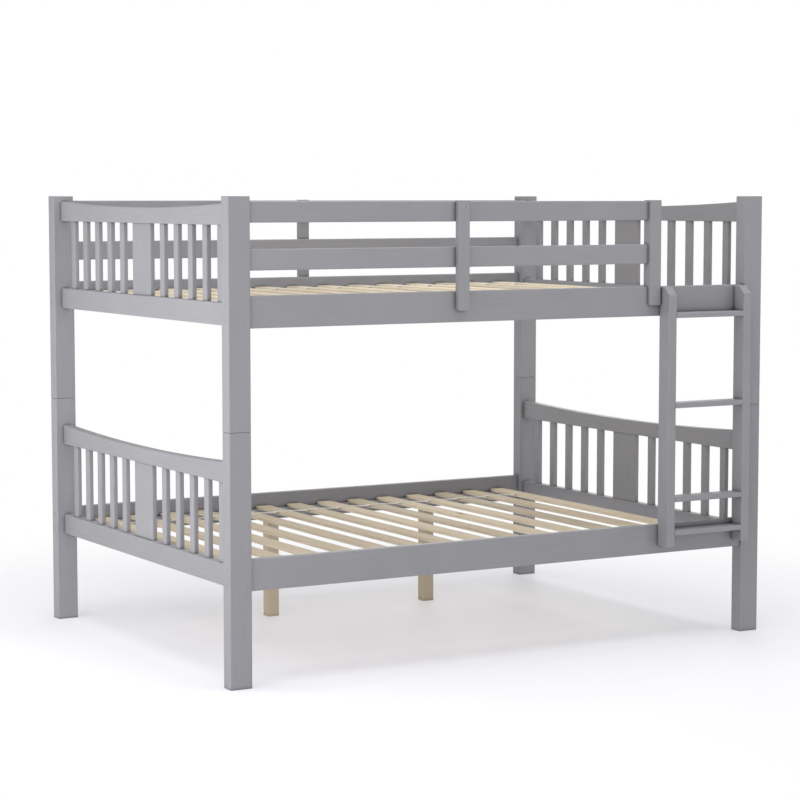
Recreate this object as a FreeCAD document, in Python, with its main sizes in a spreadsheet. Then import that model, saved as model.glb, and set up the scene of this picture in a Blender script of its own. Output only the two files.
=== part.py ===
import FreeCAD, Part
import os
import re
import Sketcher
from FreeCAD import Placement, Rotation, Vector

# Bunk bed with ladder. +X runs along the bed towards the ladder end, -Y is the front, +Z is up.
# The origin is on the floor, below the centre of the whole object with its ladder.
# Sizes and places are formulas of the sheet's cells, written as text and bound to each feature.

doc = FreeCAD.newDocument("BunkBed")

# ------------------------------------------------------------ driving dimensions, in millimetres

SIZES = {
    # whole bed, over the outer faces of the posts
    "Length": 2020, "Width": 1447, "Height": 1497, "JointHeight": 785.5,
    "PostWide": 73, "PostDeep": 50, "PostEdge": 2.5,
    # side rails
    "RailInset": 8, "RailThick": 25, "RailTall": 99, "RailEdge": 4,
    "LowerRailBase": 297.5, "UpperRailBase": 1098.5,
    # end panels: a base rail, a top rail with a hollow top edge, and upright spindles
    "PanelInset": 26.5, "PanelThick": 31, "PanelEdge": 3,
    "BaseRailTall": 69.5, "LowerBaseRail": 305, "UpperBaseRail": 1105,
    "TopRailTall": 68.5, "TopRailSag": 18, "LowerTopRail": 624, "UpperTopRail": 1409.5,
    "SpindleThick": 17.6, "SpindleWide": 32.4, "SpindleGap": 73.9, "SpindleEdge": 5,
    "SpindleShift": 1.6, "CentreSpindleWide": 143.4, "Housing": 10, "HousingGap": 0.2,
    # slat decks
    "SlatWide": 57, "SlatThick": 11, "SlatPitch": 128.7, "SlatEdge": 2, "SlatEndGap": 1,
    "LowerDeckTop": 351, "UpperDeckTop": 1164.5,
    "CleatTall": 30, "CleatThick": 22, "CleatEnd": 57, "CleatEdge": 1.5, "CleatScrewPitch": 270,
    "TapeWide": 22, "TapeThick": 1, "TapeSag": 2.5, "TapeOffset": 508, "TapeEnd": 6,
    "LegSide": 42, "LegOffset": 366, "LegEdge": 1.5, "LegScrewSpread": 10,
    # guards
    "GuardThick": 20, "GuardTall": 64.5, "GuardEdge": 4, "LowGuardBase": 1273, "TopGuardBase": 1417,
    "SupportWide": 42, "SupportThick": 20, "SupportBase": 1135, "SupportTop": 1484,
    "SupportCorner": 9, "SupportEdge": 2, "FrontSupportX": -190, "SupportScrewSpread": 12,
    "EndSupportX": 560.5, "EndSupportWide": 45, "EndSupportReach": 5,
    # ladder
    "LadderLeft": 586.5, "LadderRight": 899.2, "LadderRailWide": 32.3, "LadderRailDeep": 55,
    "LadderBase": 325, "LadderTop": 1195, "LadderSlope": 25, "LadderEdge": 2.5, "LadderGap": 0.3,
    "TreadThick": 18, "TreadEdge": 4,
    "FirstTread": 380, "SecondTread": 493, "ThirdTread": 809, "FourthTread": 1110.5,
    # steel pins between lower and upper posts
    "PinRadius": 6, "PinReach": 40, "PinGap": 0.05, "PinEndGap": 1,
    # side rail bolts with barrel nuts and caps, ladder bolts with threaded inserts
    "BoltRadius": 3, "BoltGap": 0.3, "BoltLength": 104, "BoltHead": 6, "BoltHeadTall": 5,
    "HeadRecess": 9, "CapRadius": 7, "CapTall": 3, "LowBolt": 25, "HighBolt": 74,
    "NutRadius": 5, "NutLength": 16, "NutInset": 30, "ThreadGap": 0.05,
    "InsertLength": 18, "LadderBoltLength": 46, "LowLadderBolt": 14.5,
    "HighLadderBolt": 87.5, "RailScrewLine": 76.5,
    # wooden dowels and wood screws
    "DowelRadius": 4, "DowelReach": 24, "DowelGap": 0.1, "DowelSpread": 13,
    "ScrewRadius": 2, "ScrewHead": 4, "ScrewHeadTall": 2.5, "ScrewGap": 0.2,
    "ScrewSink": 1.5, "TopScrewRise": 16.4,
    "CleatScrew": 38, "SlatScrew": 30, "LegScrew": 45, "GuardScrew": 34, "SupportScrew": 36,
}

SLAT_COUNT = 14
SPINDLES_PER_SIDE = 5
CLEAT_SCREW_STEPS = range(-3, 4)
LEG_STEP = 2.5
BOX_EDGES = {"X": (9, 10, 11, 12), "Y": (2, 4, 6, 8), "Z": (1, 3, 5, 7)}
LADDER_SLOPE_EDGE = "Edge10"
TOUCHING = 0.01
SUPPORT_CORNER_EDGES = ("Edge4", "Edge8")
TURN = {
    "X": Rotation(Vector(0, 1, 0), 90),
    "Y": Rotation(Vector(1, 0, 0), -90),
    "Z": Rotation(),
}

sheet = doc.addObject("Spreadsheet::Sheet", "Sizes")
for row, (alias, number) in enumerate(SIZES.items(), start=1):
    sheet.set(f"A{row}", alias)
    sheet.set(f"B{row}", str(number))
    sheet.setAlias(f"B{row}", alias)
doc.recompute()

# ------------------------------------------------------------ planes that pieces are placed from

# The ladder stands out in front of the posts and a guard support behind, by different amounts.
MIDDLE = "((LadderRailDeep + LadderGap - SupportThick) / 2)"
FRONT = f"({MIDDLE} - Width / 2)"
BACK = f"({MIDDLE} + Width / 2)"
END = "(Length / 2)"
POST_FACE = "(Length / 2 - PostWide)"
FRONT_RAIL = f"({FRONT} + RailInset)"
FRONT_DECK = f"({FRONT_RAIL} + RailThick)"
BACK_RAIL = f"({BACK} - RailInset - RailThick)"
BACK_GUARD = f"({BACK} - RailInset - GuardThick)"
LADDER_BACK = f"({FRONT_RAIL} - LadderGap)"
LADDER_FRONT = f"({LADDER_BACK} - LadderRailDeep)"
GUARD_END = "(EndSupportX - EndSupportWide / 2)"
PANEL_MIDDLE = "(Length / 2 - PanelInset - PanelThick / 2)"
SPINDLE_PITCH = "(SpindleWide + SpindleGap)"
FIRST_SPINDLE = "(CentreSpindleWide / 2 + SpindleGap + SpindleWide / 2)"
SIGN = {"left": "-", "right": "+"}


# ------------------------------------------------------------ how a piece is made

def formula(text):
    """The text with the sheet's name in front of each of its cells."""
    return re.sub(r"[A-Za-z]+", lambda word: "Sizes." + word.group(), str(text))


def shifted(point, axis, amount):
    """The point moved along one axis by a formula."""
    return [f"{text} + ({amount})" if name == axis else text for name, text in zip("XYZ", point)]


class Piece:
    """One sub-part: a PartDesign body, placed by its corner, whose features follow the sheet."""

    def __init__(self, label, corner=(0, 0, 0)):
        self.corner = corner
        self.body = doc.addObject("PartDesign::Body", label)
        self.body.Label = label
        self.body.AllowCompound = True
        self.place(self.body, corner)

    @staticmethod
    def place(item, corner):
        for axis, text in zip("xyz", corner):
            item.setExpression(f".Placement.Base.{axis}", formula(text))

    def box(self, size, at=(0, 0, 0), kind="Additive"):
        box = self.body.newObject(f"PartDesign::{kind}Box", "Box")
        for name, text in zip(("Length", "Width", "Height"), size):
            box.setExpression(name, formula(text))
        self.place(box, at)
        return box

    def rod(self, radius, start, direction, length, kind="Additive"):
        """A cylinder from start along a signed axis, such as +X or -Z."""
        sign, axis = direction
        low_end = shifted(start, axis, f"-({length})") if sign == "-" else start
        rod = self.body.newObject(f"PartDesign::{kind}Cylinder", "Rod")
        rod.setExpression("Radius", formula(radius))
        rod.setExpression("Height", formula(length))
        rod.Placement = Placement(Vector(), TURN[axis])
        self.place(rod, low_end)

    def local(self, point):
        return [f"({text}) - ({corner})" for text, corner in zip(point, self.corner)]

    def bore(self, radius, start, direction, length):
        """A round hole, given in the bed's frame."""
        self.rod(radius, self.local(start), direction, length, kind="Subtractive")

    def mortise(self, size, at):
        """A rectangular pocket, given in the bed's frame."""
        self.box(size, self.local(at), kind="Subtractive")

    def round(self, base, edges, radius):
        fillet = self.body.newObject("PartDesign::Fillet", "Rounding")
        fillet.Base = (base, list(edges))
        fillet.setExpression("Radius", formula(radius))

    def round_sharp_edges(self, base, radius):
        """Round every edge of a feature that isn't smooth already."""
        fillet = self.body.newObject("PartDesign::Fillet", "Rounding")
        fillet.Base = (base, [])
        fillet.UseAllEdges = True
        fillet.setExpression("Radius", formula(radius))


def board(label, size, corner, along, radius):
    """A straight piece of timber, rounded on the edges that run along the given axes."""
    piece = Piece(label, corner)
    box = piece.box(size)
    piece.round(box, [f"Edge{number}" for axis in along for number in BOX_EDGES[axis]], radius)
    return piece


def group(label, pieces):
    """Like pieces that share one node and stay separate solids."""
    compound = doc.addObject("Part::Compound", label)
    compound.Label = label
    compound.Links = [piece.body for piece in pieces]
    return compound


def add_screw(screws, surface, direction, length, outer, inner):
    """A wood screw with its sunk head, through the outer piece and into the inner one."""
    sign, axis = direction
    start = shifted(surface, axis, f"{sign}ScrewSink")
    screws.rod("ScrewHead", start, direction, "ScrewHeadTall")
    screws.rod("ScrewRadius", start, direction, length)
    outer.bore("ScrewHead + ScrewGap", surface, direction, "ScrewSink + ScrewHeadTall")
    outer.bore("ScrewRadius + ScrewGap", start, direction, length)
    inner.bore("ScrewRadius + ScrewGap", start, direction, length)


def add_dowel(dowels, joint, axis, pieces):
    """A wooden dowel that reaches equally far into both pieces of a joint."""
    start = shifted(joint, axis, "-DowelReach")
    dowels.rod("DowelRadius", start, f"+{axis}", "2 * DowelReach")
    for piece in pieces:
        piece.bore("DowelRadius + DowelGap", start, f"+{axis}", "2 * DowelReach")


def add_dowel_pair(dowels, joint, axis, spread_axis, pieces):
    for amount in ("-DowelSpread", "DowelSpread"):
        add_dowel(dowels, shifted(joint, spread_axis, amount), axis, pieces)


# ------------------------------------------------------------ posts and their pins

def make_posts(level, base, tall):
    posts = {}
    for end, x in (("left", f"-{END}"), ("right", POST_FACE)):
        for side, y in (("front", FRONT), ("back", f"{BACK} - PostDeep")):
            label = f"{level}_{side}_{end}_post"
            size = ("PostWide", "PostDeep", tall)
            posts[side, end] = board(label, size, (x, y, base), "XYZ", "PostEdge")
    return posts


def make_pins(lower_posts, upper_posts):
    pins = Piece("post_pins")
    for (side, end), lower_post in lower_posts.items():
        x = f"{SIGN[end]}({END} - PostWide / 2)"
        y = f"{FRONT} + PostDeep / 2" if side == "front" else f"{BACK} - PostDeep / 2"
        joint = (x, y, "JointHeight")
        pins.rod("PinRadius", shifted(joint, "Z", "-PinReach"), "+Z", "2 * PinReach")
        lower_post.bore("PinRadius + PinGap", joint, "-Z", "PinReach")
        upper_posts[side, end].bore("PinRadius + PinGap", joint, "+Z", "PinReach + PinEndGap")
    return pins


# ------------------------------------------------------------ side rails with their bolts

def make_side_rails(level, base, posts):
    rails = {}
    bolts = Piece(f"{level}_rail_bolts")
    nuts = Piece(f"{level}_barrel_nuts")
    caps = Piece(f"{level}_bolt_caps")
    nut_faces = {"front": FRONT_DECK, "back": f"({BACK_RAIL} + RailThick)"}
    for side, y in (("front", FRONT_RAIL), ("back", BACK_RAIL)):
        size = (f"2 * {POST_FACE}", "RailThick", "RailTall")
        rail = board(f"{level}_{side}_rail", size, (f"-{POST_FACE}", y, base), "X", "RailEdge")
        rails[side] = rail
        for end, inward in (("left", "+X"), ("right", "-X")):
            post = posts[side, end]
            for height in ("LowBolt", "HighBolt"):
                outer = (f"{SIGN[end]}{END}", f"{y} + RailThick / 2", f"{base} + {height}")
                under_head = shifted(outer, "X", f"{inward[0]}HeadRecess")
                caps.rod("CapRadius", outer, inward, "CapTall")
                head = shifted(under_head, "X", f"-({inward[0]}BoltHeadTall)")
                bolts.rod("BoltHead", head, inward, "BoltHeadTall")
                bolts.rod("BoltRadius", under_head, inward, "BoltLength")
                post.bore("CapRadius + DowelGap", outer, inward, "HeadRecess")
                post.bore("BoltRadius + BoltGap", outer, inward, "PostWide")
                rail.bore("BoltRadius + BoltGap", under_head, inward, "BoltLength + PinEndGap")

                nut_x = f"{SIGN[end]}({POST_FACE} - NutInset)"
                mouth = (nut_x, nut_faces[side], f"{base} + {height}")
                rail.bore("NutRadius + ThreadGap", mouth, "-Y", "(RailThick + NutLength) / 2")
                nut_end = (nut_x, f"{y} + (RailThick - NutLength) / 2", f"{base} + {height}")
                nuts.rod("NutRadius", nut_end, "+Y", "NutLength")
                nuts.rod("BoltRadius + ThreadGap", under_head, inward, "BoltLength + PinEndGap",
                         kind="Subtractive")
    return rails, [bolts, nuts, caps]


# ------------------------------------------------------------ end panels

def spindle_places():
    """The panel's uprights as name, middle and width, from front to back."""
    places = [("centre", MIDDLE, "CentreSpindleWide")]
    for side, sign in (("front", "-"), ("back", "+")):
        for step in range(SPINDLES_PER_SIDE):
            middle = f"({MIDDLE} {sign} ({FIRST_SPINDLE} + {step} * {SPINDLE_PITCH}))"
            places.append((f"{side}_{step + 1}", middle, "SpindleWide"))
    return places


def make_top_rail(label, corner):
    """A rail whose top edge is hollow: lowest at its middle and full height at its ends."""
    piece = Piece(label, corner)
    sketch = piece.body.newObject("Sketcher::SketchObject", "Profile")
    side_plane = next(item for item in piece.body.Origin.OriginFeatures if item.Role == "YZ_Plane")
    sketch.AttachmentSupport = (side_plane, [""])
    sketch.MapMode = "FlatFace"

    half = (SIZES["Width"] - 2 * SIZES["PostDeep"]) / 2
    tall = SIZES["TopRailTall"]
    sag = SIZES["TopRailSag"]
    corners = [Vector(-half, tall, 0), Vector(-half, 0, 0), Vector(half, 0, 0), Vector(half, tall, 0)]
    for start, stop in zip(corners, corners[1:]):
        sketch.addGeometry(Part.LineSegment(start, stop), False)
    sketch.addGeometry(Part.Arc(corners[0], Vector(0, tall - sag, 0), corners[3]), False)
    left, bottom, right, hollow = range(4)
    sketch.addConstraint([
        Sketcher.Constraint("Coincident", left, 2, bottom, 1),
        Sketcher.Constraint("Coincident", bottom, 2, right, 1),
        Sketcher.Constraint("Coincident", left, 1, hollow, 1),
        Sketcher.Constraint("Coincident", right, 2, hollow, 2),
        Sketcher.Constraint("Horizontal", bottom),
        Sketcher.Constraint("Vertical", left),
        Sketcher.Constraint("Vertical", right),
        Sketcher.Constraint("Symmetric", bottom, 1, bottom, 2, -1, 1),
        Sketcher.Constraint("Equal", left, right),
    ])
    radius = (half ** 2 + sag ** 2) / (2 * sag)
    driving = {
        "Span": (Sketcher.Constraint("Distance", bottom, 2 * half), "Width - 2 * PostDeep"),
        "EndTall": (Sketcher.Constraint("Distance", left, tall), "TopRailTall"),
        "Hollow": (Sketcher.Constraint("Radius", hollow, radius),
                   "((Width / 2 - PostDeep) ^ 2 + TopRailSag ^ 2) / (2 * TopRailSag)"),
    }
    for name, (constraint, text) in driving.items():
        index = sketch.addConstraint(constraint)
        sketch.renameConstraint(index, name)
        sketch.setExpression(f"Constraints.{name}", formula(text))

    pad = piece.body.newObject("PartDesign::Pad", "Pad")
    pad.Profile = sketch
    pad.setExpression("Length", formula("PanelThick"))
    doc.recompute()
    long_edges = [
        f"Edge{number}" for number, edge in enumerate(pad.Shape.Edges, start=1)
        if abs(edge.Vertexes[0].Y - edge.Vertexes[1].Y) > half
    ]
    piece.round(pad, long_edges, "PanelEdge")
    return piece


def make_panel(level, end, base_rail_z, top_rail_z, posts, dowels):
    x = f"-{END} + PanelInset" if end == "left" else f"{END} - PanelInset - PanelThick"
    name = f"{level}_{end}_panel"
    rail_size = ("PanelThick", "Width - 2 * PostDeep", "BaseRailTall")
    base_corner = (x, f"{FRONT} + PostDeep", base_rail_z)
    base_rail = board(f"{name}_base_rail", rail_size, base_corner, "Y", "PanelEdge")
    top_rail = make_top_rail(f"{name}_top_rail", (x, MIDDLE, top_rail_z))

    towards_bed = {"left": "+", "right": "-"}[end]
    spindle_x = f"{x} + (PanelThick - SpindleThick) / 2 {towards_bed} SpindleShift"
    spindle_z = f"({base_rail_z} + BaseRailTall - Housing)"
    spindle_tall = f"({top_rail_z} - {base_rail_z} - BaseRailTall + 2 * Housing)"
    spindles = []
    for place, middle, wide in spindle_places():
        corner = (spindle_x, f"{middle} - {wide} / 2", spindle_z)
        size = ("SpindleThick", wide, spindle_tall)
        spindles.append(board(f"{name}_spindle_{place}", size, corner, "Z", "SpindleEdge"))
        pocket = ("SpindleThick + 2 * HousingGap", f"{wide} + 2 * HousingGap", "Housing")
        pocket_y = f"{middle} - {wide} / 2 - HousingGap"
        base_rail.mortise(pocket, (f"{spindle_x} - HousingGap", pocket_y, spindle_z))
        top_rail.mortise(pocket, (f"{spindle_x} - HousingGap", pocket_y, top_rail_z))

    middles = (
        (base_rail, f"{base_rail_z} + BaseRailTall / 2"),
        (top_rail, f"{top_rail_z} + TopRailTall / 2"),
    )
    for rail, middle_z in middles:
        for side, y in (("front", f"{FRONT} + PostDeep"), ("back", f"{BACK} - PostDeep")):
            joint = (f"{SIGN[end]}{PANEL_MIDDLE}", y, middle_z)
            add_dowel_pair(dowels, joint, "Y", "Z", (rail, posts[side, end]))
    return [base_rail, top_rail], group(f"{name}_spindles", spindles)


# ------------------------------------------------------------ slat decks

def make_deck(level, deck_top, rails, screws):
    slat_base = f"({deck_top} - SlatThick)"
    cleat_base = f"({slat_base} - CleatTall)"
    cleat_size = (f"2 * ({POST_FACE} - CleatEnd)", "CleatThick", "CleatTall")
    cleats = {}
    for side, y in (("front", FRONT_DECK), ("back", f"{BACK_RAIL} - CleatThick")):
        corner = (f"-{POST_FACE} + CleatEnd", y, cleat_base)
        cleats[side] = board(f"{level}_{side}_cleat", cleat_size, corner, "X", "CleatEdge")
    inner_faces = {
        "front": (f"{FRONT_DECK} + CleatThick", "-Y"),
        "back": (f"{BACK_RAIL} - CleatThick", "+Y"),
    }
    for side, (face, outward) in inner_faces.items():
        for step in CLEAT_SCREW_STEPS:
            head = (f"{step} * CleatScrewPitch", face, f"{cleat_base} + CleatTall / 2")
            add_screw(screws, head, outward, "CleatScrew", cleats[side], rails[side])

    slats = []
    slat_size = ("SlatWide", f"{BACK_RAIL} - {FRONT_DECK} - 2 * SlatEndGap", "SlatThick")
    for number in range(SLAT_COUNT):
        step = number - (SLAT_COUNT - 1) / 2
        corner = (f"{step} * SlatPitch - SlatWide / 2", f"{FRONT_DECK} + SlatEndGap", slat_base)
        slats.append(board(f"{level}_slat_{number + 1}", slat_size, corner, "XYZ", "SlatEdge"))
    last_step = (SLAT_COUNT - 1) / 2
    cleat_middles = {"front": f"{FRONT_DECK} + CleatThick / 2", "back": f"{BACK_RAIL} - CleatThick / 2"}
    for slat, step in ((slats[0], -last_step), (slats[-1], last_step)):
        for side, y in cleat_middles.items():
            head = (f"{step} * SlatPitch", y, deck_top)
            add_screw(screws, head, "-Z", "SlatScrew", slat, cleats[side])
    return slats, [group(f"{level}_slats", slats), group(f"{level}_cleats", list(cleats.values()))]


def make_tapes(level, deck_top):
    """Two webbing tapes that lie on the slats and sag a little between them."""
    sizes = {name: sheet.get(name) for name in SIZES if name.startswith(("Tape", "Slat"))}
    thick = Vector(0, 0, sizes["TapeThick"])
    lower_edges = []
    upper_edges = []
    for number in range(SLAT_COUNT):
        middle = (number - (SLAT_COUNT - 1) / 2) * sizes["SlatPitch"]
        start = Vector(middle - sizes["SlatWide"] / 2, 0, 0)
        stop = Vector(middle + sizes["SlatWide"] / 2, 0, 0)
        next_slat = Vector(start.x + sizes["SlatPitch"], 0, 0)
        if number == 0:
            start.x += sizes["TapeEnd"]
            first = start
        if number == SLAT_COUNT - 1:
            stop.x -= sizes["TapeEnd"]
            last = stop
        for edges, lift in ((lower_edges, Vector()), (upper_edges, thick)):
            edges.append(Part.LineSegment(start + lift, stop + lift).toShape())
            if number < SLAT_COUNT - 1:
                bottom = (stop + next_slat) / 2 - Vector(0, 0, sizes["TapeSag"]) + lift
                edges.append(Part.Arc(stop + lift, bottom, next_slat + lift).toShape())
    ends = [Part.LineSegment(point, point + thick).toShape() for point in (first, last)]
    outline = Part.Wire(Part.__sortEdges__(lower_edges + upper_edges + ends))
    tape = Part.Face(outline).extrude(Vector(0, sizes["TapeWide"], 0))

    tapes = doc.addObject("Part::Feature", f"{level}_slat_tapes")
    tapes.Label = f"{level}_slat_tapes"
    front_edges = [side * sizes["TapeOffset"] - sizes["TapeWide"] / 2 for side in (-1, 1)]
    tapes.Shape = Part.makeCompound([tape.translated(Vector(0, y, 0)) for y in front_edges])
    Piece.place(tapes, (0, MIDDLE, deck_top))
    return tapes


def make_legs(slats, screws):
    legs = []
    for end, sign in (("left", -1), ("right", 1)):
        x = f"{sign * LEG_STEP} * SlatPitch"
        y = f"{MIDDLE} + LegOffset"
        size = ("LegSide", "LegSide", "LowerDeckTop - SlatThick")
        corner = (f"{x} - LegSide / 2", f"{y} - LegSide / 2", 0)
        leg = board(f"{end}_centre_leg", size, corner, "XYZ", "LegEdge")
        slat = slats[int((SLAT_COUNT - 1) / 2 + sign * LEG_STEP)]
        for spread in ("-LegScrewSpread", "LegScrewSpread"):
            add_screw(screws, (x, f"{y} + ({spread})", "LowerDeckTop"), "-Z", "LegScrew", slat, leg)
        legs.append(leg)
    return legs


# ------------------------------------------------------------ guards

def make_centre_support(label, x, y):
    piece = Piece(label, (f"{x} - SupportWide / 2", y, "SupportBase"))
    box = piece.box(("SupportWide", "SupportThick", "SupportTop - SupportBase"))
    piece.round(box, SUPPORT_CORNER_EDGES, "SupportCorner")
    piece.round_sharp_edges(piece.body.Tip, "SupportEdge")
    return piece


def make_end_support():
    """An upright that stands on the front rail, with a tongue that laps the rail's outer face."""
    y = f"({FRONT} - EndSupportReach)"
    rail_top = "(UpperRailBase + RailTall)"
    piece = Piece("front_guard_end_support", (GUARD_END, y, "SupportBase"))
    tongue_tall = f"{rail_top} - SupportBase"
    piece.box(("EndSupportWide", "EndSupportReach + RailInset", "SupportTop - SupportBase"))
    block_size = ("EndSupportWide", "EndSupportReach + RailInset + RailThick", f"SupportTop - {rail_top}")
    block = piece.box(block_size, (0, 0, tongue_tall))
    doc.recompute()
    outside = block.Shape.BoundBox
    outer_edges = []
    for number, edge in enumerate(block.Shape.Edges, start=1):
        middle = edge.CenterOfMass
        distances = (
            (middle.x - outside.XMin, outside.XMax - middle.x),
            (middle.y - outside.YMin, outside.YMax - middle.y),
            (middle.z - outside.ZMin, outside.ZMax - middle.z),
        )
        if sum(min(pair) < TOUCHING for pair in distances) >= 2:
            outer_edges.append(f"Edge{number}")
    piece.round(block, outer_edges, "SupportEdge")
    return piece


def make_guards(posts, rails, dowels, screws):
    board_z = {"low": "LowGuardBase", "top": "TopGuardBase"}
    board_y = {"front": FRONT_RAIL, "back": BACK_GUARD}
    board_end = {"front": GUARD_END, "back": POST_FACE}
    end_support = make_end_support()
    support_x = {"front": "FrontSupportX", "back": "0"}
    support_y = {"front": f"{FRONT_RAIL} - SupportThick", "back": f"{BACK} - RailInset"}
    supports = {
        side: make_centre_support(f"{side}_guard_centre_support", support_x[side], support_y[side])
        for side in ("front", "back")
    }
    outer_face = {"front": support_y["front"], "back": f"{support_y['back']} + SupportThick"}
    inward = {"front": "+Y", "back": "-Y"}
    pair = ("-SupportScrewSpread", "SupportScrewSpread")
    from_outside = {"front_top": ("TopScrewRise",), "back_low": pair, "back_top": pair}
    right_neighbour = {"front": end_support, "back": posts["back", "right"]}

    boards = []
    for side, y in board_y.items():
        for name, z in board_z.items():
            size = (f"{board_end[side]} + {POST_FACE}", "GuardThick", "GuardTall")
            guard = board(f"{side}_guard_{name}_board", size, (f"-{POST_FACE}", y, z), "X", "GuardEdge")
            boards.append(guard)
            middle_y = f"{y} + GuardThick / 2"
            middle_z = f"{z} + GuardTall / 2"
            left_joint = (f"-{POST_FACE}", middle_y, middle_z)
            right_joint = (board_end[side], middle_y, middle_z)
            add_dowel_pair(dowels, left_joint, "X", "Z", (guard, posts[side, "left"]))
            add_dowel_pair(dowels, right_joint, "X", "Z", (guard, right_neighbour[side]))
            for rise in from_outside.get(f"{side}_{name}", ()):
                head = (support_x[side], outer_face[side], f"{middle_z} + ({rise})")
                add_screw(screws, head, inward[side], "GuardScrew", supports[side], guard)
            if (side, name) == ("front", "low"):
                for rise in pair:
                    head = (support_x[side], f"{y} + GuardThick", f"{middle_z} + ({rise})")
                    add_screw(screws, head, "-Y", "GuardScrew", guard, supports[side])

    screw_z = "UpperRailBase + RailScrewLine"
    for spread in pair:
        for x, support in (("EndSupportX", end_support), ("FrontSupportX", supports["front"])):
            head = (f"{x} + ({spread})", FRONT_DECK, screw_z)
            add_screw(screws, head, "-Y", "SupportScrew", rails["front"], support)
        head = (spread, outer_face["back"], screw_z)
        add_screw(screws, head, "-Y", "SupportScrew", supports["back"], rails["back"])
    return boards + [end_support] + list(supports.values())


# ------------------------------------------------------------ ladder

def make_ladder(front_rail):
    rail_tall = "LadderTop - LadderBase"
    rails = []
    for end, x in (("left", "LadderLeft"), ("right", "LadderRight")):
        rail = Piece(f"ladder_{end}_rail", (x, LADDER_FRONT, "LadderBase"))
        box = rail.box(("LadderRailWide", "LadderRailDeep", rail_tall))
        slope = rail.body.newObject("PartDesign::Chamfer", "Slope")
        slope.Base = (box, [LADDER_SLOPE_EDGE])
        slope.setExpression("Size", formula("LadderSlope"))
        rail.round_sharp_edges(slope, "LadderEdge")
        rails.append(rail)

    dowels = Piece("tread_dowels")
    treads = []
    tread_x = "(LadderLeft + LadderRailWide)"
    for name in ("first", "second", "third", "fourth"):
        top = f"{name.capitalize()}Tread"
        size = (f"LadderRight - {tread_x}", "LadderRailDeep", "TreadThick")
        corner = (tread_x, LADDER_FRONT, f"{top} - TreadThick")
        tread = board(f"ladder_{name}_tread", size, corner, "X", "TreadEdge")
        treads.append(tread)
        for rail, x in zip(rails, (tread_x, "LadderRight")):
            joint = (x, f"{LADDER_FRONT} + LadderRailDeep / 2", f"{top} - TreadThick / 2")
            add_dowel_pair(dowels, joint, "X", "Y", (tread, rail))

    bolts = Piece("ladder_bolts")
    inserts = Piece("ladder_inserts")
    for rail, x in zip(rails, ("LadderLeft", "LadderRight")):
        for height in ("LowLadderBolt", "HighLadderBolt"):
            under_head = (f"{x} + LadderRailWide / 2", FRONT_DECK, f"UpperRailBase + {height}")
            mouth = shifted(under_head, "Y", "-RailThick - LadderGap")
            bolts.rod("BoltHead", under_head, "+Y", "BoltHeadTall")
            bolts.rod("BoltRadius", under_head, "-Y", "LadderBoltLength")
            front_rail.bore("BoltRadius + BoltGap", under_head, "-Y", "LadderBoltLength")
            inserts.rod("NutRadius", mouth, "-Y", "InsertLength")
            inserts.rod("BoltRadius + ThreadGap", mouth, "-Y", "InsertLength", kind="Subtractive")
            rail.bore("NutRadius + ThreadGap", mouth, "-Y", "InsertLength")
            rail.bore("BoltRadius + BoltGap", under_head, "-Y", "LadderBoltLength + PinEndGap")
    return rails + treads + [dowels, bolts, inserts]


# ------------------------------------------------------------ the bed

def make_bed():
    """Every node of the bed, as objects with a label and a shape."""
    lower_posts = make_posts("lower", 0, "JointHeight")
    upper_posts = make_posts("upper", "JointHeight", "Height - JointHeight")
    pieces = [make_pins(lower_posts, upper_posts), *lower_posts.values(), *upper_posts.values()]
    groups = []
    bunks = (
        ("lower", lower_posts, "LowerRailBase", "LowerBaseRail", "LowerTopRail", "LowerDeckTop"),
        ("upper", upper_posts, "UpperRailBase", "UpperBaseRail", "UpperTopRail", "UpperDeckTop"),
    )
    for level, posts, rail_base, base_rail_z, top_rail_z, deck_top in bunks:
        dowels = Piece(f"{level}_dowels")
        screws = Piece(f"{level}_screws")
        rails, hardware = make_side_rails(level, rail_base, posts)
        pieces += [dowels, screws, *rails.values(), *hardware]
        for end in ("left", "right"):
            panel_rails, spindles = make_panel(level, end, base_rail_z, top_rail_z, posts, dowels)
            pieces += panel_rails
            groups.append(spindles)
        slats, deck_groups = make_deck(level, deck_top, rails, screws)
        groups += deck_groups
        groups.append(make_tapes(level, deck_top))
        if level == "lower":
            pieces += make_legs(slats, screws)
        else:
            pieces += make_guards(posts, rails, dowels, screws)
            pieces += make_ladder(rails["front"])
    return [piece.body for piece in pieces] + groups


def check(nodes):
    failed = [item.Label for item in doc.Objects if {"Invalid", "Error"} & set(item.State)]
    failed += [node.Label for node in nodes if node.Shape.isNull() or not node.Shape.isValid()]
    if failed:
        raise RuntimeError("failed objects: " + ", ".join(failed))


nodes = make_bed()
doc.recompute()
check(nodes)
os.makedirs("parts", exist_ok=True)
for node in nodes:
    node.Shape.exportStep(f"parts/{node.Label}.step")
    print(node.Label, len(node.Shape.Solids), round(node.Shape.Volume / 1000, 2))
print(len(nodes), "nodes")
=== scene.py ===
import math

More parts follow.
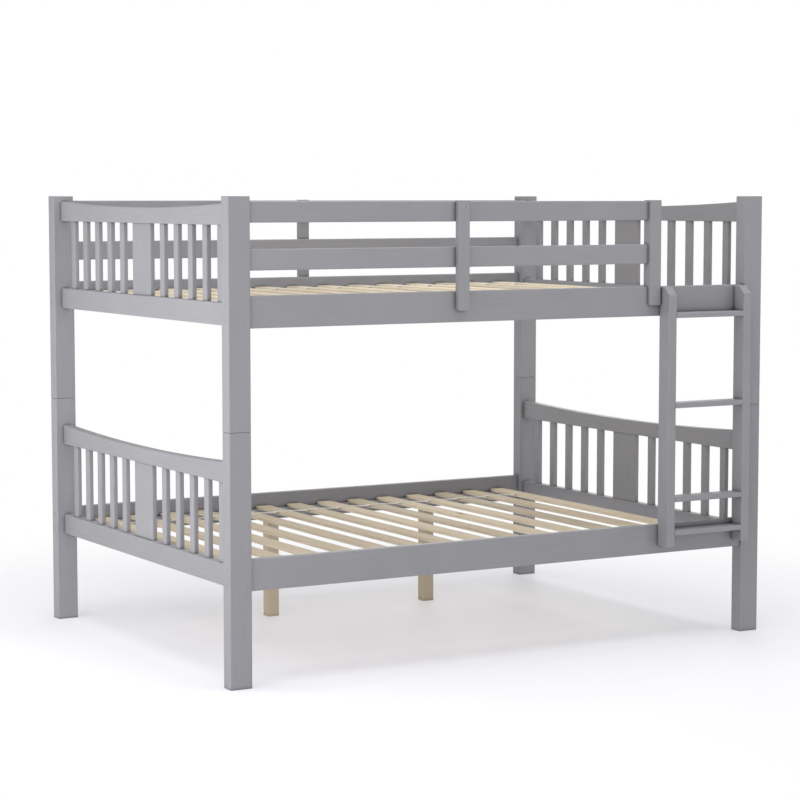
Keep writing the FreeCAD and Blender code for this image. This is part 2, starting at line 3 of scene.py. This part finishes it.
import bmesh
import bpy
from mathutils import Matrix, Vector


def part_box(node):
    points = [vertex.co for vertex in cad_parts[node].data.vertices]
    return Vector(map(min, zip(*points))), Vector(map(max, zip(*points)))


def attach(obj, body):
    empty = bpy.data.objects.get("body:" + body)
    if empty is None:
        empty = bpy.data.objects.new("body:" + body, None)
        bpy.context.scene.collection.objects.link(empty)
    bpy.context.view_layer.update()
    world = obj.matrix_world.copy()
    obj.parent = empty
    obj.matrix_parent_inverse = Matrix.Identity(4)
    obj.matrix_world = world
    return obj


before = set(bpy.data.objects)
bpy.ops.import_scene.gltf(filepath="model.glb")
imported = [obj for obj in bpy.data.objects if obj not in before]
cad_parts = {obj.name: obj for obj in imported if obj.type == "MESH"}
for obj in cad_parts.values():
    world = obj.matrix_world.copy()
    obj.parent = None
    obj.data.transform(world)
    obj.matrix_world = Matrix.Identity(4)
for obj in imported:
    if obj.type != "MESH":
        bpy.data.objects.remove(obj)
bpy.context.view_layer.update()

# Everything is in metres, in the frame of the CAD model: +X towards the ladder end, -Y the front, +Z up.


# ------------------------------------------------------------ node trees

class Tree:
    """Builds one material's node tree with short calls."""

    def __init__(self, name):
        self.material = bpy.data.materials.new(name)
        self.material.use_nodes = True
        self.nodes = self.material.node_tree.nodes
        self.links = self.material.node_tree.links
        self.shader = self.nodes["Principled BSDF"]

    def add(self, kind, settings=None, **inputs):
        """A node with its settings. Inputs are set or linked by name (spaces as _) or place (at0, at1)."""
        node = self.nodes.new(f"ShaderNode{kind}")
        for name, value in (settings or {}).items():
            setattr(node, name, value)
        for name, value in inputs.items():
            self.feed(node, name.replace("_", " "), value)
        return node

    def feed(self, node, name, value):
        """Link a socket to an input, or set the input to a plain value."""
        socket = node.inputs[int(name[2:])] if name.startswith("at") else node.inputs[name]
        if isinstance(value, bpy.types.NodeSocket):
            self.links.new(value, socket)
        else:
            socket.default_value = value

    def set(self, **inputs):
        """Set or link the shader's own sockets."""
        for name, value in inputs.items():
            self.feed(self.shader, name.replace("_", " "), value)

    def math(self, operation, first, second=0.0):
        return self.add("Math", {"operation": operation}, at0=first, at1=second).outputs[0]

    def noise(self, vector, scale, detail=3.0, roughness=0.55):
        node = self.add("TexNoise", Vector=vector, Scale=scale, Detail=detail, Roughness=roughness)
        return node.outputs["Fac"]

    def stretch(self, vector, scale):
        node = self.add("VectorMath", {"operation": "MULTIPLY"}, at0=vector, at1=scale)
        return node.outputs["Vector"]

    def shift(self, vector, amount):
        node = self.add("VectorMath", {"operation": "ADD"}, at0=vector, at1=amount)
        return node.outputs["Vector"]

    def ramp(self, factor, low, high, low_value=0.0, high_value=1.0):
        """A smooth step of a factor, from low_value to high_value."""
        node = self.add("MapRange", {"interpolation_type": "SMOOTHSTEP"}, Value=factor,
                        From_Min=low, From_Max=high, To_Min=low_value, To_Max=high_value)
        return node.outputs["Result"]

    def mix(self, factor, first, second, blend="MIX"):
        settings = {"data_type": "RGBA", "blend_type": blend}
        node = self.add("Mix", settings, at0=factor, at6=first, at7=second)
        return node.outputs[2]

    def tint(self, colour, factor):
        """A colour made lighter or darker by a factor near 1."""
        grey = self.add("CombineXYZ", X=factor, Y=factor, Z=factor).outputs[0]
        return self.mix(1.0, colour, grey, blend="MULTIPLY")

    def painted_crevice_shade(self, darkest, reach=0.03):
        """Painted shade: a factor that falls from 1 in the open to a darker value in the corners where
        surfaces meet, standing in for the contact shadow there.
        """
        open_sky = self.add("AmbientOcclusion", {"samples": 8}, Distance=reach).outputs["AO"]
        return self.ramp(open_sky, 0.2, 0.9, darkest, 1.0)

    def bump(self, height, distance, strength=1.0, normal=None):
        node = self.add("Bump", Height=height, Distance=distance, Strength=strength)
        if normal is not None:
            self.links.new(normal, node.inputs["Normal"])
        return node.outputs["Normal"]

    def along_grain(self, axis):
        """Object coordinates turned so that the grain runs along Y."""
        place = self.add("TexCoord").outputs["Object"]
        split = self.add("SeparateXYZ", Vector=place).outputs
        order = {"X": (1, 0, 2), "Y": (0, 1, 2), "Z": (0, 2, 1)}[axis]
        turned = self.add("CombineXYZ", X=split[order[0]], Y=split[order[1]], Z=split[order[2]])
        return turned.outputs[0]

    def piece_random(self):
        return self.add("ObjectInfo").outputs["Random"]


# ------------------------------------------------------------ materials

PAINT = (0.266, 0.264, 0.282, 1.0)
PAINT_DEEP = (0.253, 0.251, 0.269, 1.0)
PINE_PALE = (0.65, 0.57, 0.435, 1.0)
PINE_RING = (0.51, 0.405, 0.285, 1.0)
PINE_KNOT = (0.24, 0.14, 0.075, 1.0)
BEECH = (0.60, 0.42, 0.25, 1.0)
BEECH_PALE = (0.68, 0.5, 0.32, 1.0)
TAPE_DEEP = (0.60, 0.57, 0.50, 1.0)
TAPE_PALE = (0.84, 0.81, 0.74, 1.0)
ZINC_DARK = (0.30, 0.30, 0.31, 1.0)
ZINC_LIGHT = (0.42, 0.42, 0.43, 1.0)
CAP_DARK = (0.215, 0.215, 0.228, 1.0)
CAP_LIGHT = (0.235, 0.235, 0.248, 1.0)
FLOOR_DEEP = (0.80, 0.797, 0.865, 1.0)
FLOOR_PALE = (0.83, 0.827, 0.895, 1.0)
WHITE = (1.0, 1.0, 1.0, 1.0)

# How the pine grew: rings per metre, how far they lean, how many rings they wander by and how many they
# bend by at a knot, knots per metre, and how far the place in the wood where a board was cut may shift.
RINGS_PER_METRE = 120.0
RING_LEAN = 0.45
RING_WANDER = 7.0
KNOT_BEND = 3.0
KNOTS_PER_METRE = (7.0, 2.1, 7.0)
BOARD_SHIFT = (3.7, 11.0, 0.9)

THREAD_PITCH = 0.0016


def painted_wood(axis):
    """Satin grey paint over solid wood: the grain shows faintly as relief under the film."""
    tree = Tree(f"painted_wood_{axis.lower()}")
    place = tree.along_grain(axis)
    own_place = tree.shift(place, tree.add("CombineXYZ", X=tree.piece_random(), Y=0.0, Z=0.0).outputs[0])

    grain = tree.noise(tree.stretch(own_place, (1.0, 0.045, 1.0)), 190.0, detail=5.0, roughness=0.62)
    pores = tree.noise(tree.stretch(own_place, (1.0, 0.03, 1.0)), 900.0, detail=2.0)
    film = tree.noise(place, 1500.0, detail=1.0)
    cloud = tree.noise(place, 3.5, detail=2.0)

    shade = tree.ramp(grain, 0.3, 0.72)
    colour = tree.mix(shade, PAINT_DEEP, PAINT)
    board_tone = tree.ramp(tree.piece_random(), 0.0, 1.0, 0.965, 1.03)
    colour = tree.tint(colour, board_tone)
    colour = tree.tint(colour, tree.ramp(cloud, 0.3, 0.7, 0.975, 1.02))
    # Painted shade: the paint is darkened in the corners where parts meet, as a contact shadow.
    colour = tree.tint(colour, tree.painted_crevice_shade(darkest=0.3, reach=0.018))
    tree.set(Base_Color=colour, Specular_IOR_Level=0.42)
    tree.set(Roughness=tree.ramp(grain, 0.25, 0.75, 0.46, 0.36))

    normal = tree.bump(grain, 0.0004, strength=0.16)
    normal = tree.bump(pores, 0.0002, strength=0.2, normal=normal)
    normal = tree.bump(film, 0.00008, strength=0.3, normal=normal)
    tree.set(Normal=normal)
    return tree.material


def bare_pine(axis, tone=1.0, board_pitch=None):
    """Planed pine with growth rings, fibres and small knots. With a pitch, each slat has its own tone."""
    tree = Tree(f"pine_{axis.lower()}" + ("_slats" if board_pitch else ""))
    place = tree.along_grain(axis)
    if board_pitch:
        along_deck = tree.add("SeparateXYZ", Vector=place).outputs[0]
        count = tree.math("FLOOR", tree.math("DIVIDE", along_deck, board_pitch))
        seed = tree.add("TexWhiteNoise", {"noise_dimensions": "1D"}, W=count).outputs["Value"]
    else:
        seed = tree.piece_random()
    across, along, through = [tree.math("MULTIPLY", seed, step) for step in BOARD_SHIFT]
    offset = tree.add("CombineXYZ", X=across, Y=along, Z=through).outputs[0]
    own_place = tree.shift(place, offset)

    knot_place = tree.stretch(own_place, KNOTS_PER_METRE)
    knots = tree.add("TexVoronoi", Vector=knot_place, Scale=1.0, Randomness=1.0)
    near_knot = knots.outputs["Distance"]
    knot = tree.ramp(near_knot, 0.05, 0.1, 1.0, 0.0)
    swirl = tree.ramp(near_knot, 0.04, 0.32, 1.0, 0.0)

    wander = tree.noise(tree.stretch(own_place, (1.0, 0.28, 1.0)), 5.0, detail=2.0)
    rings_at = tree.add("SeparateXYZ", Vector=own_place).outputs
    depth = tree.math("ADD", rings_at[0], tree.math("MULTIPLY", rings_at[2], RING_LEAN))
    rings = tree.math("MULTIPLY", depth, RINGS_PER_METRE)
    phase = tree.math("ADD", rings, tree.math("MULTIPLY", wander, RING_WANDER))
    phase = tree.math("ADD", phase, tree.math("MULTIPLY", swirl, KNOT_BEND))
    saw = tree.math("FRACT", phase)
    late_wood = tree.ramp(saw, 0.45, 0.97)

    fibre = tree.noise(tree.stretch(own_place, (1.0, 0.02, 1.0)), 700.0, detail=3.0)
    colour = tree.mix(tree.math("MULTIPLY", late_wood, 0.62), PINE_PALE, PINE_RING)
    colour = tree.mix(tree.ramp(fibre, 0.35, 0.75, 0.0, 0.28), colour, PINE_RING)
    colour = tree.tint(colour, tree.ramp(seed, 0.0, 1.0, 0.86 * tone, 1.1 * tone))
    colour = tree.mix(tree.math("MULTIPLY", swirl, 0.25), colour, PINE_RING)
    colour = tree.mix(knot, colour, PINE_KNOT)
    # Painted shade: the pine is darkened in the corners where parts meet, as a contact shadow.
    colour = tree.tint(colour, tree.painted_crevice_shade(darkest=0.6))
    tree.set(Base_Color=colour, Specular_IOR_Level=0.3)
    tree.set(Roughness=tree.ramp(fibre, 0.3, 0.7, 0.58, 0.7))
    normal = tree.bump(late_wood, 0.0002, strength=0.3)
    normal = tree.bump(fibre, 0.0003, strength=0.4, normal=normal)
    tree.set(Normal=normal)
    return tree.material


def beech():
    """The dowels: beech with fine flecks."""
    tree = Tree("beech_dowel")
    place = tree.add("TexCoord").outputs["Object"]
    fleck = tree.noise(place, 700.0, detail=3.0)
    tree.set(Base_Color=tree.mix(tree.ramp(fleck, 0.35, 0.7), BEECH, BEECH_PALE))
    tree.set(Roughness=0.62, Normal=tree.bump(fleck, 0.0002, strength=0.4))
    return tree.material


def webbing():
    """Off-white woven tape: warp threads along X and weft threads across."""
    tree = Tree("woven_tape")
    place = tree.add("TexCoord").outputs["Object"]
    split = tree.add("SeparateXYZ", Vector=place).outputs
    turn = 2 * math.pi / THREAD_PITCH
    warp = tree.math("SINE", tree.math("MULTIPLY", split[1], turn))
    weft = tree.math("SINE", tree.math("MULTIPLY", split[0], turn))
    weave = tree.math("MULTIPLY", warp, weft)
    height = tree.math("ADD", tree.math("MULTIPLY", weave, 0.5), 0.5)
    fuzz = tree.noise(place, 1600.0, detail=2.0)
    colour = tree.mix(height, TAPE_DEEP, TAPE_PALE)
    colour = tree.tint(colour, tree.ramp(fuzz, 0.3, 0.7, 0.93, 1.04))
    normal = tree.bump(height, 0.0005, strength=0.8)
    normal = tree.bump(fuzz, 0.0002, strength=0.4, normal=normal)
    tree.set(Base_Color=colour, Roughness=0.85, Sheen_Weight=0.25, Normal=normal)
    return tree.material


def zinc_steel():
    """Zinc plate: a soft spangle and fine scratches."""
    tree = Tree("zinc_plated_steel")
    place = tree.add("TexCoord").outputs["Object"]
    spangle = tree.noise(place, 260.0, detail=3.0)
    scratch = tree.noise(tree.stretch(place, (1.0, 1.0, 8.0)), 900.0, detail=2.0)
    tree.set(Metallic=1.0, Base_Color=tree.mix(spangle, ZINC_DARK, ZINC_LIGHT))
    tree.set(Roughness=tree.ramp(scratch, 0.3, 0.7, 0.28, 0.44))
    tree.set(Normal=tree.bump(scratch, 0.00005, strength=0.4))
    return tree.material


def cap_plastic():
    """The flush covers over the bolt heads, moulded in the paint's colour but a little darker."""
    tree = Tree("cap_plastic")
    place = tree.add("TexCoord").outputs["Object"]
    pebble = tree.noise(place, 1400.0, detail=2.0)
    tree.set(Base_Color=tree.mix(pebble, CAP_DARK, CAP_LIGHT))
    tree.set(Roughness=0.5, Normal=tree.bump(pebble, 0.0001, strength=0.4))
    return tree.material


SLAT_COUNT = 14
SLAT_WIDE = 0.057


def slat_pitch():
    """The distance between slats, from the deck's own box: fourteen equal slats and thirteen steps."""
    low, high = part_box("lower_slats")
    return (high[0] - low[0] - SLAT_WIDE) / (SLAT_COUNT - 1)


def paint_cad_nodes():
    """Give each CAD node its material by the end of its name, and return the steel for the staples."""
    grey = {axis: painted_wood(axis) for axis in "XYZ"}
    slat_pine = bare_pine("Y", board_pitch=slat_pitch())
    leg_pine = bare_pine("Z", tone=0.86)
    steel = zinc_steel()
    rules = (
        (("_panel_top_rail", "_panel_base_rail"), grey["Y"]),
        (("_post", "_spindles", "_support", "ladder_left_rail", "ladder_right_rail"), grey["Z"]),
        (("_front_rail", "_back_rail", "_board", "_tread", "_cleats"), grey["X"]),
        (("_slats",), slat_pine),
        (("_centre_leg",), leg_pine),
        (("_dowels",), beech()),
        (("_tapes",), webbing()),
        (("_caps",), cap_plastic()),
        (("_bolts", "_nuts", "_screws", "_pins", "_inserts"), steel),
    )
    for name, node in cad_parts.items():
        material = next(item for endings, item in rules if name.endswith(endings))
        for slot in node.material_slots:
            slot.material = material
    return steel


# ------------------------------------------------------------ staples

TAPE_WIDE = 0.022
STAPLE_WIDE = 0.010
STAPLE_LEG = 0.0025
STAPLE_WIRE = 0.0006
STAPLE_RISE = 0.6 * STAPLE_WIRE
STAPLE_STEP = 0.020
STAPLE_BEND = 0.0008


def make_staples(level, steel):
    """Two wire staples across each tape on each slat, pressed into the webbing."""
    tape_low, tape_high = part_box(f"{level}_slat_tapes")
    slat_low, slat_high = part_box(f"{level}_slats")
    data = bpy.data.curves.new(f"{level}_tape_staples", "CURVE")
    data.dimensions = "3D"
    data.bevel_depth = STAPLE_WIRE
    data.bevel_resolution = 2
    data.use_fill_caps = True
    top = tape_high[2] + STAPLE_RISE
    half = STAPLE_WIDE / 2
    profile = [
        (-half, -STAPLE_LEG), (-half, -STAPLE_BEND), (STAPLE_BEND - half, 0.0),
        (half - STAPLE_BEND, 0.0), (half, -STAPLE_BEND), (half, -STAPLE_LEG),
    ]
    for slat in range(SLAT_COUNT):
        middle = (slat_low[0] + slat_high[0]) / 2 + (slat - (SLAT_COUNT - 1) / 2) * slat_pitch()
        for y in (tape_low[1] + TAPE_WIDE / 2, tape_high[1] - TAPE_WIDE / 2):
            for x in (middle - STAPLE_STEP / 2, middle + STAPLE_STEP / 2):
                spline = data.splines.new("POLY")
                spline.points.add(len(profile) - 1)
                for point, (across, rise) in zip(spline.points, profile):
                    point.co = (x, y + across, top + rise, 1.0)
    staples = bpy.data.objects.new(f"{level}_tape_staples", data)
    bpy.context.scene.collection.objects.link(staples)
    data.materials.append(steel)
    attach(staples, f"{level}_bunk")


# ------------------------------------------------------------ floor, light and camera

FLOOR_RADIUS = 60.0
FADE_START = 1.0
FADE_END = 2.7
# NEAR_GLOW is the share of painted light glowing in the floor near the bed, which lightens the shadows
# there.
NEAR_GLOW = 0.31
SURROUND_LIGHT = 0.45
SURROUND_SEEN = 1.0
EYE = (-4.0524, -6.9997, 1.4942)
TURN_RIGHT = 0.5237
TILT_DOWN = 0.0869
LENS = 104.88
SENSOR = 36.0

# name, place, target, size in metres and power in watts
SOFT_BOXES = (
    ("left_box", (-2.4, -0.4, 1.1), (-1.0, -0.2, 0.9), (2.4, 2.0), 34.0),
    ("low_front_box", (-1.3, -3.4, 0.4), (-0.9, -0.7, 0.35), (1.6, 0.5), 12.0),
    ("front_right_box", (4.0, -6.5, 2.5), (0.0, 0.0, 0.8), (3.0, 3.0), 46.0),
    ("top_box", (0.0, -0.8, 5.5), (0.0, 0.0, 0.0), (6.0, 5.0), 265.0),
    ("back_right_box", (4.5, 6.5, 2.5), (0.0, 0.0, 0.8), (3.0, 3.0), 50.0),
)


def make_floor():
    """A wide pale floor that glows: near the bed part of its brightness is painted light that lifts the
    shadows on it, and far from the bed it turns into plain white.
    """
    mesh = bpy.data.meshes.new("floor")
    builder = bmesh.new()
    bmesh.ops.create_circle(builder, cap_ends=True, segments=96, radius=FLOOR_RADIUS)
    builder.to_mesh(mesh)
    builder.free()
    floor = bpy.data.objects.new("floor", mesh)
    bpy.context.scene.collection.objects.link(floor)
    tree = Tree("studio_floor")
    place = tree.add("TexCoord").outputs["Object"]
    mottle = tree.noise(place, 2.0, detail=3.0)
    tree.set(Base_Color=tree.mix(mottle, FLOOR_DEEP, FLOOR_PALE))
    tree.set(Roughness=0.55, Specular_IOR_Level=0.2)
    distance = tree.add("VectorMath", {"operation": "LENGTH"}, at0=place).outputs["Value"]
    # Painted light: the floor glows a little near the bed, lightening the shadows there, and glows plain
    # white far away.
    far = tree.ramp(distance, FADE_START, FADE_END, NEAR_GLOW, 1.0)
    glow = tree.add("Emission", Color=WHITE, Strength=1.0).outputs[0]
    mixed = tree.add("MixShader", at0=far, at1=tree.shader.outputs[0], at2=glow).outputs[0]
    tree.links.new(mixed, tree.nodes["Material Output"].inputs["Surface"])
    mesh.materials.append(tree.material)


def area_light(name, place, target, size, power):
    """A rectangle of light that points at a target and that the camera doesn't see."""
    data = bpy.data.lights.new(name, "AREA")
    data.shape = "RECTANGLE"
    data.size, data.size_y = size
    data.energy = power
    lamp = bpy.data.objects.new(name, data)
    lamp.location = place
    lamp.rotation_euler = (Vector(target) - Vector(place)).to_track_quat("-Z", "Y").to_euler()
    lamp.visible_camera = False
    bpy.context.scene.collection.objects.link(lamp)


def make_light():
    """Soft studio light: a white surround, and soft boxes above, off the left end and off both
    right corners, with a low fill for the front of the lower bunk."""
    world = bpy.data.worlds.new("studio")
    world.use_nodes = True
    tree = world.node_tree
    seen = tree.nodes.new("ShaderNodeLightPath").outputs["Is Camera Ray"]
    strength = tree.nodes.new("ShaderNodeMapRange")
    strength.inputs["To Min"].default_value = SURROUND_LIGHT
    strength.inputs["To Max"].default_value = SURROUND_SEEN
    tree.links.new(seen, strength.inputs["Value"])
    tree.links.new(strength.outputs["Result"], tree.nodes["Background"].inputs["Strength"])
    tree.nodes["Background"].inputs["Color"].default_value = WHITE
    bpy.context.scene.world = world

    for box in SOFT_BOXES:
        area_light(*box)


def make_camera():
    """The eye stands off the front left corner, a little below the top of the posts."""
    data = bpy.data.cameras.new("camera")
    data.sensor_width = SENSOR
    data.lens = LENS
    camera = bpy.data.objects.new("camera", data)
    camera.location = EYE
    camera.rotation_euler = (math.pi / 2 - TILT_DOWN, 0.0, -TURN_RIGHT)
    bpy.context.scene.collection.objects.link(camera)
    bpy.context.scene.camera = camera


steel = paint_cad_nodes()
for level in ("lower", "upper"):
    make_staples(level, steel)
make_floor()
make_light()
make_camera()
bpy.context.scene.view_settings.view_transform = "Standard"
